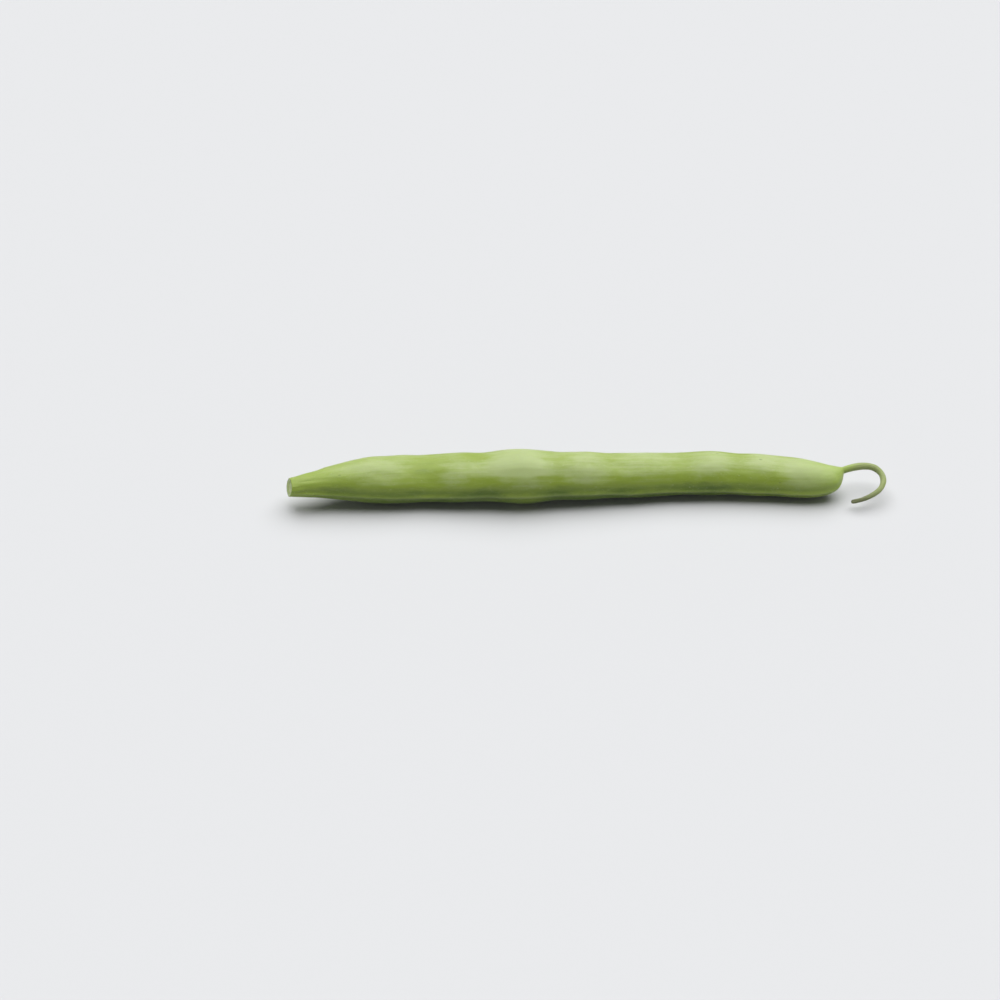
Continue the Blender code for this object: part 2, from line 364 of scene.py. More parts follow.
class ColourSettings(PropertyGroup):
    """Colours of the pod, in scene-linear values."""

    skin: FloatVectorProperty(
        name="Skin", description="Main green of the skin",
        default=(0.222, 0.305, 0.026, 1.0), size=4, min=0.0, max=1.0, subtype="COLOR",
    )
    # Pale skin is also the painted highlight along the upper side, and its blue is raised for that painted
    # highlight
    pale: FloatVectorProperty(
        name="Pale skin", description="Paler patches and the skin stretched over the seeds",
        default=(0.34, 0.415, 0.16, 1.0), size=4, min=0.0, max=1.0, subtype="COLOR",
    )
    # Deep skin is also the painted shade on the lower side, darkened for it, and partly painted shade in the
    # hollows between the seeds
    deep: FloatVectorProperty(
        name="Deep skin", description="Darker streaks and the dips between the seeds",
        default=(0.07, 0.125, 0.003, 1.0), size=4, min=0.0, max=1.0, subtype="COLOR",
    )
    seam: FloatVectorProperty(
        name="Seam", description="Pale line along each ridge",
        default=(0.36, 0.43, 0.13, 1.0), size=4, min=0.0, max=1.0, subtype="COLOR",
    )
    neck: FloatVectorProperty(
        name="Neck", description="Yellower green at the stem end",
        default=(0.265, 0.355, 0.052, 1.0), size=4, min=0.0, max=1.0, subtype="COLOR",
    )
    # The tip colour is partly the tip's own fresher green and partly painted light, made paler for it
    tip: FloatVectorProperty(
        name="Tip", description="Fresher green at the tip",
        default=(0.30, 0.405, 0.085, 1.0), size=4, min=0.0, max=1.0, subtype="COLOR",
    )
    tail: FloatVectorProperty(
        name="Tail", description="Olive of the tail",
        default=(0.26, 0.31, 0.11, 1.0), size=4, min=0.0, max=1.0, subtype="COLOR",
    )
    tail_end: FloatVectorProperty(
        name="Tail end", description="Dry olive brown of the end of the tail",
        default=(0.11, 0.12, 0.05, 1.0), size=4, min=0.0, max=1.0, subtype="COLOR",
    )
    flesh: FloatVectorProperty(
        name="Flesh", description="Moist flesh of the cut face",
        default=(0.42, 0.50, 0.20, 1.0), size=4, min=0.0, max=1.0, subtype="COLOR",
    )


class DownSettings(PropertyGroup):
    """The fine hairs on the skin."""

    density: FloatProperty(
        name="Hairs per mm2", description="Hairs on a square millimetre where the down is thickest",
        default=3.2, min=0.0, max=20.0,
    )
    length: FloatProperty(
        name="Hair length", description="Length of a hair",
        default=0.26 * MM, min=0.00002, max=0.002, unit="LENGTH",
    )
    radius: FloatProperty(
        name="Hair radius", description="Radius of a hair at its root",
        default=0.011 * MM, min=0.000002, max=0.0002, unit="LENGTH",
    )
    colour: FloatVectorProperty(
        name="Hair colour", description="Colour of the down",
        default=(0.55, 0.62, 0.36, 1.0), size=4, min=0.0, max=1.0, subtype="COLOR",
    )
    seed: IntProperty(name="Seed", description="Draws other places for the hairs", default=7, min=0, max=999)


class StageSettings(PropertyGroup):
    """Floor and light."""

    floor_size: FloatProperty(
        name="Floor size", description="Length of each side of the floor",
        default=30.0, min=1.0, max=100.0, unit="LENGTH",
    )
    floor_colour: FloatVectorProperty(
        name="Floor", description="Colour of the floor",
        default=(0.54, 0.545, 0.555, 1.0), size=4, min=0.0, max=1.0, subtype="COLOR",
    )
    key_strength: FloatProperty(
        name="Key light", description="Strength of the broad light overhead",
        default=4.6, min=0.0, max=20.0,
    )
    key_spread: FloatProperty(
        name="Key spread", description="Angle that the broad light covers",
        default=math.radians(80), min=0.0, max=math.pi, subtype="ANGLE",
    )
    room_strength: FloatProperty(
        name="Room light", description="Strength of the even light from all round",
        default=0.10, min=0.0, max=5.0,
    )
    horizon_strength: FloatProperty(
        name="Horizon", description="Strength of the pale band along the horizon",
        default=0.72, min=0.0, max=5.0,
    )


class Wire:
    """An output socket of a node. Arithmetic on it adds Math and Vector Math nodes to the same tree."""

    def __init__(self, tree, socket, vector=False):
        self.tree = tree
        self.socket = socket
        self.vector = vector

    def math(self, operation, *others):
        return wire(self.tree, "ShaderNodeMath", [self, *others], operation=operation)

    def vector_math(self, operation, *others):
        return wire(self.tree, "ShaderNodeVectorMath", [self, *others], vector=True, operation=operation)

    def scaled(self, amount):
        inputs = {0: self, "Scale": amount}
        return wire(self.tree, "ShaderNodeVectorMath", inputs, vector=True, operation="SCALE")

    def __add__(self, other):
        return self.vector_math("ADD", other) if self.vector else self.math("ADD", other)

    def __sub__(self, other):
        return self.vector_math("SUBTRACT", other) if self.vector else self.math("SUBTRACT", other)

    def __mul__(self, other):
        return self.scaled(other) if self.vector else self.math("MULTIPLY", other)

    def __truediv__(self, other):
        return self.math("DIVIDE", other)

    def __pow__(self, other):
        return self.math("POWER", other)

    def __rsub__(self, other):
        return (self * -1.0) + other

    __radd__ = __add__
    __rmul__ = __mul__


def wire(tree, kind, inputs=(), output=0, vector=False, **options):
    """Adds a node, sets its options, fills its inputs with values or wires, and returns one output."""
    node = tree.nodes.new(kind)
    for option, value in options.items():
        setattr(node, option, value)
    pairs = inputs.items() if isinstance(inputs, dict) else enumerate(inputs)
    for name, value in pairs:
        if isinstance(value, Wire):
            tree.links.new(value.socket, node.inputs[name])
        else:
            node.inputs[name].default_value = value
    return Wire(tree, node.outputs[output], vector)


def bell(value, centre, width):
    """1 at the centre, falling off smoothly to 0 over a few widths."""
    gap = (value - centre) / width
    return (gap * gap * -1.0).math("EXPONENT")


def rising(value, start, end):
    """0 up to start, 1 from end on, and smooth between them."""
    inputs = {"Value": value, "From Min": start, "From Max": end}
    return wire(value.tree, "ShaderNodeMapRange", inputs, interpolation_type="SMOOTHSTEP")


def components(vector):
    """The three numbers of a vector."""
    split = wire(vector.tree, "ShaderNodeSeparateXYZ", [vector])
    return [Wire(vector.tree, out) for out in split.socket.node.outputs]


def joined(tree, x, y, z):
    """A vector of three numbers."""
    return wire(tree, "ShaderNodeCombineXYZ", [x, y, z], vector=True)


def fading(distance, reach):
    """1 at no distance, falling off to 0 over a few reaches."""
    return (distance * (-1 / reach)).math("EXPONENT")


def noise(place, pattern):
    """Noise round 0, from about -1 to 1, in one of the patterns."""
    cell, seed, detail, roughness = PATTERNS[pattern]
    stretched = place.vector_math("DIVIDE", tuple(side * MM for side in cell))
    moved = stretched.vector_math("ADD", tuple(seed * shift for shift in SEED_SHIFT))
    inputs = {"Vector": moved, "Scale": 1.0, "Detail": detail, "Roughness": roughness}
    return wire(place.tree, "ShaderNodeTexNoise", inputs, noise_dimensions="3D") * 2.0 - 1.0


def new_tree(name, inputs):
    """A Geometry Nodes tree with named inputs. Returns the tree, its inputs as wires, and its output node."""
    tree = bpy.data.node_groups.new(name, "GeometryNodeTree")
    tree.interface.new_socket("Geometry", in_out="INPUT", socket_type="NodeSocketGeometry")
    for label, kind in inputs.items():
        tree.interface.new_socket(label, in_out="INPUT", socket_type=kind)
    tree.interface.new_socket("Geometry", in_out="OUTPUT", socket_type="NodeSocketGeometry")
    entry = tree.nodes.new("NodeGroupInput")
    wires = {out.name: Wire(tree, out, out.type == "VECTOR") for out in entry.outputs if out.name}
    return tree, wires, tree.nodes.new("NodeGroupOutput")


def grown(name, source, tree, values):
    """Runs a tree on a mesh and returns a new object with the plain mesh that comes out."""
    carrier = bpy.data.objects.new(name + "_source", source)
    bpy.context.scene.collection.objects.link(carrier)
    modifier = carrier.modifiers.new(name, "NODES")
    modifier.node_group = tree
    for item in tree.interface.items_tree:
        if item.in_out == "INPUT" and item.name in values:
            modifier[item.identifier] = values[item.name]
    depsgraph = bpy.context.evaluated_depsgraph_get()
    mesh = bpy.data.meshes.new_from_object(carrier.evaluated_get(depsgraph), depsgraph=depsgraph)
    carrier.modifiers.remove(modifier)
    bpy.data.objects.remove(carrier)
    mesh.name = name
    piece = bpy.data.objects.new(name, mesh)
    bpy.context.scene.collection.objects.link(piece)
    return piece


def smooth_through(stations, values):
    """Natural cubic spline through values at stations, as a function of an array of distances."""
    x = np.asarray(stations, float)
    y = np.asarray(values, float).reshape(len(x), -1)
    gap = np.diff(x)
    slope = np.diff(y, axis=0) / gap[:, None]
    system = np.eye(len(x))
    change = np.zeros_like(y)
    for i in range(1, len(x) - 1):
        system[i, i - 1 : i + 2] = gap[i - 1], 2 * (gap[i - 1] + gap[i]), gap[i]
        change[i] = 6 * (slope[i] - slope[i - 1])
    bend = np.linalg.solve(system, change)

    def at(distances):
        d = np.atleast_1d(np.asarray(distances, float))
        i = np.clip(np.searchsorted(x, d, side="right") - 1, 0, len(x) - 2)
        before, after, width = (d - x[i])[:, None], (x[i + 1] - d)[:, None], gap[i][:, None]
        cubic = (bend[i] * after**3 + bend[i + 1] * before**3) / (6 * width)
        left = (y[i] / width - bend[i] * width / 6) * after
        right = (y[i + 1] / width - bend[i + 1] * width / 6) * before
        return cubic + left + right

    return at


def middle_line(pod_length):
    """Returns the middle line as a function of distance along it, and its length."""
    pod = [(share * pod_length, back * MM, up * MM) for share, back, up in POD_LINE]
    tail = [(pod_length + on * MM, back * MM, up * MM) for on, back, up in TAIL_LINE]
    points = np.array(pod + tail)
    chords = np.concatenate([[0], np.cumsum(np.linalg.norm(np.diff(points, axis=0), axis=1))])
    by_chord = smooth_through(chords, points)
    fine = np.linspace(0, chords[-1], LINE_SAMPLES)
    path = by_chord(fine)
    run = np.concatenate([[0], np.cumsum(np.linalg.norm(np.diff(path, axis=0), axis=1))])

    def at(distances):
        return by_chord(np.interp(distances, run, fine))

    return at, run[-1]


def unit(vectors):
    """The same vectors at length 1."""
    return vectors / np.linalg.norm(vectors, axis=-1, keepdims=True)


def section_axes(line, distances, length):
    """Directions of the section: ahead along the line, to the back seam, and to the upper side."""
    ahead = line(np.minimum(distances + TANGENT_STEP, length))
    behind = line(np.maximum(distances - TANGENT_STEP, 0))
    forward = unit(ahead - behind)
    back = unit(np.cross((0, 0, 1), forward))
    up = np.cross(forward, back)
    roll = ROLL_AT_STEM + (ROLL_AT_TIP - ROLL_AT_STEM) * (distances / length)[:, None]
    return forward, np.cos(roll) * back + np.sin(roll) * up, np.cos(roll) * up - np.sin(roll) * back


def section_reach(distances, length, pod):
    """How far the section reaches to the back edge, the front edge and the flat sides, and how much of
    the pod is left, which goes from 1 to 0 through the tip."""
    swell = smooth_through([s[0] * pod.length for s in SWELL], [s[1:] for s in SWELL])(distances)
    half_width, half_depth = swell[:, 0] * pod.width / 2, swell[:, 1] * pod.depth / 2
    tip_start, tip_end = TIP_START_SHARE * pod.length, TIP_END_SHARE * pod.length
    into_tip = np.clip((distances - tip_start) / (tip_end - tip_start), 0, 1)
    into_tail = np.clip((distances - tip_end) / (length - tip_end), 0, 1)
    tail = TAIL_RADIUS_AT_TIP + (TAIL_RADIUS_AT_END - TAIL_RADIUS_AT_TIP) * into_tail

    def closed(body, fullness, fillet):
        return tail + (body - tail) * (1 - into_tip**fullness) ** fillet

    back = closed(half_width, BACK_FULLNESS, BACK_FILLET)
    front = closed(half_width, FRONT_FULLNESS, FRONT_FILLET)
    side = closed(half_depth, SIDE_FULLNESS, SIDE_FILLET)
    return back, front, side, 1 - into_tip**SIDE_FULLNESS


def ring_rows(length, pod):
    """Where each ring of the sweep stands: its distance, its offset ahead, its share of the full section,
    and 1 where it lies on the cut face."""
    rows = []
    face_edge = 1 - CUT_RIM_RADIUS / (SWELL[0][1] * pod.width / 2)
    for i in range(CUT_FACE_RINGS):
        share = i / (CUT_FACE_RINGS - 1)
        rows.append((0.0, CUT_DISH * (1 - share**2), share * face_edge, 1.0))
    for i in range(1, CUT_RIM_RINGS):
        turn = i * math.pi / 2 / CUT_RIM_RINGS
        share = face_edge + (1 - face_edge) * math.sin(turn)
        rows.append((CUT_RIM_RADIUS * (1 - math.cos(turn)), 0.0, share, 0.0))
    tip_start, tip_end = TIP_START_SHARE * pod.length, TIP_END_SHARE * pod.length
    stretches = [
        (CUT_RIM_RADIUS, tip_start, POD_STEP),
        (tip_start, tip_end, TIP_STEP),
        (tip_end, length, TAIL_STEP),
    ]
    for start, end, step in stretches:
        for distance in np.linspace(start, end, round((end - start) / step), endpoint=False):
            rows.append((distance, 0.0, 1.0, 0.0))
    for i in range(TAIL_END_RINGS + 1):
        turn = i * math.pi / 2 / TAIL_END_RINGS
        rows.append((length, TAIL_RADIUS_AT_END * math.sin(turn), math.cos(turn), 0.0))
    return np.array(rows)


def spine(pod):
    """The middle line as a mesh of points, one for each ring, with the section's measures as attributes."""
    line, length = middle_line(pod.length)
    distances, offsets, shares, on_cut = ring_rows(length, pod).T
    forward, to_seam, to_side = section_axes(line, distances, length)
    back, front, side, fullness = section_reach(distances, length, pod)
    swells = SEEDS + [(share, half_length, -depth, lean) for share, half_length, depth, lean in HOLLOWS]
    bumps = np.array([
        rise * MM * np.exp(-(((distances - share * pod.length) / (half_length * MM)) ** 2))
        for share, half_length, rise, lean in swells
    ])
    leans = np.array([lean for share, half_length, rise, lean in swells])
    numbers = {
        "distance": distances,
        "back_reach": back,
        "front_reach": front,
        "side_reach": side,
        "fullness": fullness,
        "section_share": shares,
        "on_cut": on_cut,
        "seed_rise": bumps.sum(axis=0),
        "seed_lean": (bumps * leans[:, None]).sum(axis=0),
        "seam_share": np.clip(distances / SEAM_FADE, SEAM_AT_CUT, 1),
        "slant": np.exp(-distances / CUT_SLANT_FADE),
    }
    mesh = bpy.data.meshes.new("spine")
    mesh.vertices.add(len(distances))
    centres = line(distances) + forward * offsets[:, None]
    mesh.vertices.foreach_set("co", centres.ravel())
    for name, values in numbers.items():
        mesh.attributes.new(name, "FLOAT", "POINT").data.foreach_set("value", values)
    for name, values in {"ahead": forward, "to_seam": to_seam, "to_side": to_side}.items():
        mesh.attributes.new(name, "FLOAT_VECTOR", "POINT").data.foreach_set("vector", values.ravel())
    return mesh, length


def attribute_kind(vector):
    """Blender's name for the kind of an attribute."""
    return "FLOAT_VECTOR" if vector else "FLOAT"


def carried(tree, name, vector=False):
    """A value that the points of a geometry carry."""
    kind = attribute_kind(vector)
    return wire(tree, "GeometryNodeInputNamedAttribute", {"Name": name}, vector=vector, data_type=kind)


def sampled(spine_points, ring, field):
    """A field's value at the spine's point for a ring."""
    inputs = {"Geometry": spine_points, "Value": field, "Index": ring}
    options = {"vector": field.vector, "data_type": attribute_kind(field.vector), "domain": "POINT"}
    return wire(spine_points.tree, "GeometryNodeSampleIndex", inputs, **options)


def stored(geometry, name, value):
    """Keeps a value on the mesh's points under a name, for the materials and the down."""
    inputs = {"Geometry": geometry, "Name": name, "Value": value}
    options = {"data_type": attribute_kind(value.vector), "domain": "POINT"}
    return wire(geometry.tree, "GeometryNodeStoreNamedAttribute", inputs, **options)


def seam_relief(gap, height, depth):
    """The ridge of a seam and its two grooves, by the angle from the nearest seam."""
    return height * bell(gap, 0.0, SEAM_HALF_ANGLE) - depth * bell(gap, GROOVE_ANGLE, GROOVE_HALF_ANGLE)


def skin_relief(place, along, given):
    """The small rises, fibres and folds of the skin."""
    pod_length, seed = given["Pod length"], given["Seed"]
    seeded = place + joined(place.tree, 0.0, seed * 0.5, seed * 0.3)
    uneven = given["Unevenness"] * (noise(seeded, "broad rises") + noise(seeded, "dimples") * DIMPLE_SHARE)
    fibres = given["Fibre height"] * noise(seeded, "fibres")
    fine = given["Fibre height"] * FINE_FIBRE_SHARE * noise(seeded, "fine fibres")
    neck = fading(along, NECK_FOLD_FADE)
    tip = bell(along, pod_length - TIP_FOLD_BACK, TIP_FOLD_WIDTH)
    tail = rising(along, pod_length - TAIL_RELIEF_START, pod_length + TAIL_RELIEF_START)
    dry = rising(along, pod_length + TAIL_DRIES[0], pod_length + TAIL_DRIES[1])
    body = (uneven + fibres + fine) * (1.0 - tail)
    folds = noise(seeded, "folds") * (neck * NECK_FOLDS + tip * TIP_FOLDS)
    stalk = noise(seeded, "tail knots") * TAIL_KNOTS + noise(seeded, "tail ribs") * TAIL_RIBS
    stalk = stalk + noise(seeded, "tail wrinkles") * (TAIL_WRINKLES + dry * DRY_WRINKLES)
    return body + given["Fold height"] * (folds + tail * stalk)


def sweep_tree():
    """Geometry Nodes tree that sweeps the pod's section along the spine and welds it into one skin."""
    tree, given, out = new_tree("Bean skin", {
        "Rings": "NodeSocketInt",
        "Sides": "NodeSocketInt",
        "Seam height": "NodeSocketFloat",
        "Groove depth": "NodeSocketFloat",
        "Unevenness": "NodeSocketFloat",
        "Fibre height": "NodeSocketFloat",
        "Fold height": "NodeSocketFloat",
        "Pod length": "NodeSocketFloat",
        "Box middle": "NodeSocketVector",
        "Rest flat": "NodeSocketFloat",
        "Seed": "NodeSocketInt",
        "Skin": "NodeSocketMaterial",
    })
    line = given["Geometry"]
    around = given["Sides"] + 1
    grid = wire(tree, "GeometryNodeMeshGrid", {"Vertices X": given["Rings"], "Vertices Y": around})
    uv = Wire(tree, grid.socket.node.outputs["UV Map"], True)
    index = wire(tree, "GeometryNodeInputIndex")
    ring = (index / around).math("FLOOR")
    turn = (index - ring * around) * (2 * math.pi) / given["Sides"]
    angle = turn - (turn * 2.0).math("SINE") * SIDE_CROWDING
    cosine, sine = angle.math("COSINE"), angle.math("SINE")
    gap = sine.math("ARCSINE").math("ABSOLUTE")

    def measure(name, vector=False):
        return sampled(line, ring, carried(tree, name, vector))

    along, share, on_cut = measure("distance"), measure("section_share"), measure("on_cut")
    back, front, side = measure("back_reach"), measure("front_reach"), measure("side_reach")
    fullness = measure("fullness")
    half_width = (back + front) * 0.5
    plain_across = half_width * cosine + (back - front) * 0.5
    plain_upward = side * sine
    straight = joined(tree, along, plain_across * share, plain_upward * share)

    over_seeds = SEED_RISE_AT_SEAMS + sine * sine * (1 - SEED_RISE_AT_SEAMS)
    seed_swell = measure("seed_rise") + measure("seed_lean") * cosine
    seams = seam_relief(gap, given["Seam height"], given["Groove depth"]) * measure("seam_share")
    rise = (over_seeds * seed_swell + seams) * fullness + skin_relief(straight, along, given)
    normal = joined(tree, cosine / half_width, sine / side, 0.0).vector_math("NORMALIZE")
    normal_across, normal_upward, _ = components(normal)
    across = (plain_across + rise * normal_across) * share
    upward = (plain_upward + rise * normal_upward) * share

    slanted = across * -math.tan(CUT_SLANT_FORWARD) + upward * math.tan(CUT_SLANT_UP)
    shift = slanted * measure("slant") + cut_relief(straight, share, angle) * on_cut
    centre = sampled(line, ring, wire(tree, "GeometryNodeInputPosition", vector=True))
    ahead = measure("ahead", True)
    place = centre + measure("to_seam", True) * across + measure("to_side", True) * upward + ahead * shift

    shape = wire(tree, "GeometryNodeSetPosition", {"Geometry": grid, "Position": place})
    uv_inputs = {"Geometry": shape, "Name": "UVMap", "Value": uv}
    shape = wire(tree, "GeometryNodeStoreNamedAttribute", uv_inputs, data_type="FLOAT2", domain="CORNER")
    kept = {
        "straight": straight,
        "ahead": ahead,
        "along": along,
        "seam_gap": gap,
        "seed_swell": seed_swell * over_seeds * fullness,
        "section_share": share,
        "on_cut": on_cut,
    }
    for name, value in kept.items():
        shape = stored(shape, name, value)
    shape = wire(tree, "GeometryNodeMergeByDistance", {"Geometry": shape, "Distance": WELD})
    shape = wire(tree, "GeometryNodeFlipFaces", [shape])
    shape = settled(shape, given["Box middle"], given["Rest flat"])
    shape = wire(tree, "GeometryNodeSetShadeSmooth", {"Geometry": shape, "Shade Smooth": True})
    shape = wire(tree, "GeometryNodeRealizeInstances", [shape])
    shape = wire(tree, "GeometryNodeSetMaterial", {"Geometry": shape, "Material": given["Skin"]})
    tree.links.new(shape.socket, out.inputs["Geometry"])
    return tree


def cut_relief(straight, share, angle):
    """How far the cut face sinks in below its plain dish: a ring of raised fibre ends and a soft grain."""
    bundles = (angle * FIBRE_BUNDLES).math("SINE") * 0.5 + 0.5
    fibre_ends = bell(share, FIBRE_RING, FIBRE_RING_WIDTH) * bundles
    skin_lip = bell(share, SKIN_RING, SKIN_RING_WIDTH)
    grain = noise(straight, "cut grain") * CUT_GRAIN_HEIGHT
    return fibre_ends * -FIBRE_HEIGHT + skin_lip * -SKIN_RING_HEIGHT + grain


def settled(shape, box_middle, rest_flat):
    """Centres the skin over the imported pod, stands it on the surface and flattens its lowest spots."""
    tree = shape.tree
    bounds = wire(tree, "GeometryNodeBoundBox", [shape]).socket.node
    low, high = Wire(tree, bounds.outputs["Min"], True), Wire(tree, bounds.outputs["Max"], True)
    to_middle = box_middle - (low + high) * 0.5
    move_x, move_y, _ = components(to_middle)
    lowest = components(low)[2]
    move = joined(tree, move_x, move_y, (lowest + rest_flat) * -1.0)
    shape = wire(tree, "GeometryNodeSetPosition", {"Geometry": shape, "Offset": move})
    x, y, z = components(wire(tree, "GeometryNodeInputPosition"))
    level = joined(tree, x, y, z.math("MAXIMUM", 0.0))
    return wire(tree, "GeometryNodeSetPosition", {"Geometry": shape, "Position": level})


def down_tree():
    """Geometry Nodes tree that grows short bent hairs, leaning towards the tip, from the skin."""
    tree, given, out = new_tree("Bean down", {
        "Hairs per square metre": "NodeSocketFloat",
        "Hair length": "NodeSocketFloat",
        "Hair radius": "NodeSocketFloat",
        "Seed": "NodeSocketInt",
        "Down": "NodeSocketMaterial",
    })

    patches = noise(carried(tree, "straight", True), "down patches") * DOWN_PATCHES
    at_seams = bell(carried(tree, "seam_gap"), 0.0, DOWN_SEAM_WIDTH) * DOWN_AT_SEAMS
    at_neck = fading(carried(tree, "along"), DOWN_NECK_FADE) * DOWN_AT_NECK
    height = components(wire(tree, "GeometryNodeInputPosition"))[2]
    thick = (at_seams + at_neck + patches + DOWN_BASE) * (1.0 - carried(tree, "on_cut"))
    thick = (thick * rising(height, *DOWN_CLEARANCE)).math("MAXIMUM", 0.0)
    scatter_inputs = {
        "Mesh": given["Geometry"],
        "Density": given["Hairs per square metre"] * thick,
        "Seed": given["Seed"],
    }
    points = wire(tree, "GeometryNodeDistributePointsOnFaces", scatter_inputs, distribute_method="RANDOM")
    normal = Wire(tree, points.socket.node.outputs["Normal"], True)

    stray_inputs = {0: (-1.0, -1.0, -1.0), 1: (1.0, 1.0, 1.0), "Seed": given["Seed"] + 1}
    stray = wire(tree, "FunctionNodeRandomValue", stray_inputs, vector=True, data_type="FLOAT_VECTOR")
    pointing = normal + carried(tree, "ahead", True) * HAIR_LEAN + stray * HAIR_STRAY
    rotation = wire(tree, "FunctionNodeAlignRotationToVector", {"Vector": pointing}, axis="Z")
    size_inputs = {2: HAIR_SIZES[0], 3: HAIR_SIZES[1], "Seed": given["Seed"] + 2}
    size = wire(tree, "FunctionNodeRandomValue", size_inputs, output=1, data_type="FLOAT")

    length = given["Hair length"]
    bend_inputs = {
        "Resolution": HAIR_STEPS,
        "Start": joined(tree, 0.0, 0.0, length * HAIR_ROOT),
        "Middle": joined(tree, 0.0, 0.0, length * HAIR_MIDDLE),
        "End": joined(tree, length * HAIR_BEND, 0.0, length),
    }
    hair = wire(tree, "GeometryNodeCurveQuadraticBezier", bend_inputs)
    taper = 1.0 - wire(tree, "GeometryNodeSplineParameter") * HAIR_TAPER
    hair = wire(tree, "GeometryNodeSetCurveRadius", {"Curve": hair, "Radius": taper})
    ring_inputs = {"Resolution": HAIR_SIDES, "Radius": given["Hair radius"]}
    ring = wire(tree, "GeometryNodeCurvePrimitiveCircle", ring_inputs)
    tube_inputs = {"Curve": hair, "Profile Curve": ring, "Fill Caps": True, "Scale": taper}
    hair = wire(tree, "GeometryNodeCurveToMesh", tube_inputs)

    copies = {"Points": points, "Instance": hair, "Rotation": rotation, "Scale": size}
    shape = wire(tree, "GeometryNodeInstanceOnPoints", copies)
    shape = wire(tree, "GeometryNodeRealizeInstances", [shape])
    shape = wire(tree, "GeometryNodeSetShadeSmooth", {"Geometry": shape, "Shade Smooth": True})
    shape = wire(tree, "GeometryNodeSetMaterial", {"Geometry": shape, "Material": given["Down"]})
    tree.links.new(shape.socket, out.inputs["Geometry"])
    return tree


def new_material(name, finish):
    """A node material with a finish set on its shader. Returns it with its tree and its shader."""
    material = bpy.data.materials.new(name)
    material.use_nodes = True
    shader = material.node_tree.nodes["Principled BSDF"]
    for socket, value in finish.items():
        shader.inputs[socket].default_value = value
    return material, material.node_tree, shader


def attribute(tree, name, vector=False):
    """A value that the skin's mesh carries."""
    options = {"output": "Vector" if vector else "Fac", "vector": vector}
    return wire(tree, "ShaderNodeAttribute", attribute_name=name, attribute_type="GEOMETRY", **options)


def tinted(base, colour, amount):
    """A colour laid over another by an amount from 0 to 1."""
    inputs = {0: amount, 6: base, 7: colour}
    return wire(amount.tree, "ShaderNodeMix", inputs, output=2, data_type="RGBA")


def skin_green(place, swell, colours, pod_length):
    """The green of the pod's skin: broad patches and lengthwise streaks, paler skin over the seeds and deeper
    green in the hollows (partly its own colour, partly painted light and shade of the lumps), a painted
    highlight along the upper side, painted light near the tip, and painted shade on the lower side."""
    along, _, upward = components(place)
    patches = noise(place, "patches")
    upward = upward + patches * SIDE_WAVER
    tones = {
        "patches": patches,
        "streaks": noise(place, "streaks"),
        "mottle": noise(place, "mottle"),
        # partly own colour, partly painted light and shade of the lumps
        "swell": swell * (1 / MM) - PLAIN_SWELL,
        # painted highlight: paler upper side
        "painted_highlight": rising(upward, *PAINTED_HIGHLIGHT_SIDE),
        # painted light near the tip
        "painted light near tip": rising(along, pod_length - PAINTED_LIGHT_NEAR_TIP[0], pod_length - PAINTED_LIGHT_NEAR_TIP[1]),
        # painted shade: darker lower side
        "shade": 1.0 - rising(upward, *PAINTED_SHADE_SIDE),
    }
    tone = sum(tones[name] * amount for name, amount in TONES.items())
    green = tinted(tuple(colours.skin), tuple(colours.pale), rising(tone, *PALE_TONES))
    return tinted(green, tuple(colours.deep), rising(tone * -1.0, *DEEP_TONES))


def skin_veins(place, base, colours, amount):
    """A faint net of paler veins, drawn out along the pod."""
    tree = place.tree
    bent = place + joined(tree, 0.0, noise(place, "vein bends") * VEIN_BEND, 0.0)
    stretched = bent.vector_math("DIVIDE", tuple(side * MM for side in VEIN_CELL))
    net = wire(tree, "ShaderNodeTexVoronoi", {"Vector": stretched, "Scale": 1.0}, feature="DISTANCE_TO_EDGE")
    broken = rising(noise(place, "vein breaks"), *VEIN_BREAKS)
    return tinted(base, tuple(colours.pale), (1.0 - rising(net, 0.0, VEIN_WIDTH)) * broken * amount)


def skin_specks(place, base, colours):
    """Small pale flecks, fewer deep green ones, and a few brown ones."""
    tree = place.tree
    for colour, cell, seed, radius, share, amount in FLECKS:
        stretched = place.vector_math("DIVIDE", (cell * FLECK_STRETCH * MM, cell * MM, cell * MM))
        moved = stretched.vector_math("ADD", (seed, seed, seed))
        cells = wire(tree, "ShaderNodeTexVoronoi", {"Vector": moved, "Scale": 1.0}, feature="F1")
        draw = components(Wire(tree, cells.socket.node.outputs["Color"], True))[0]
        fleck = (1.0 - rising(cells, radius * 0.5, radius)) * draw.math("LESS_THAN", share) * amount
        base = tinted(base, tuple(getattr(colours, colour)), fleck)
    return base


def end_tints(along, place, base, colours, pod_length, length):
    """The yellower neck, the fresh green tip, which is partly painted light, and the olive tail with its dry
    end.
    """
    ragged = along + noise(place, "ragged ends") * RAGGED
    base = tinted(base, tuple(colours.neck), fading(along, NECK_TINT_FADE) * NECK_TINT)
    tip = bell(along, pod_length - TIP_TINT_BACK, TIP_TINT_WIDTH)
    base = tinted(base, tuple(colours.tip), tip * TIP_TINT)
    on_tail = rising(ragged, pod_length + TAIL_TINT_START, pod_length + TAIL_TINT_END)
    base = tinted(base, tuple(colours.tail), on_tail)
    strands = noise(place, "tail strands")
    base = tinted(base, tuple(colours.deep), rising(strands, *DARK_STRANDS) * on_tail * STRAND_TINT)
    glow = rising(strands * -1.0, *PALE_STRANDS) * on_tail * STRAND_GLOW
    base = tinted(base, tuple(colours.pale), glow)
    dry = rising(ragged, length - DRY_TINT_LENGTHS[0], length - DRY_TINT_LENGTHS[1])
    return tinted(base, tuple(colours.tail_end), dry * DRY_TINT)


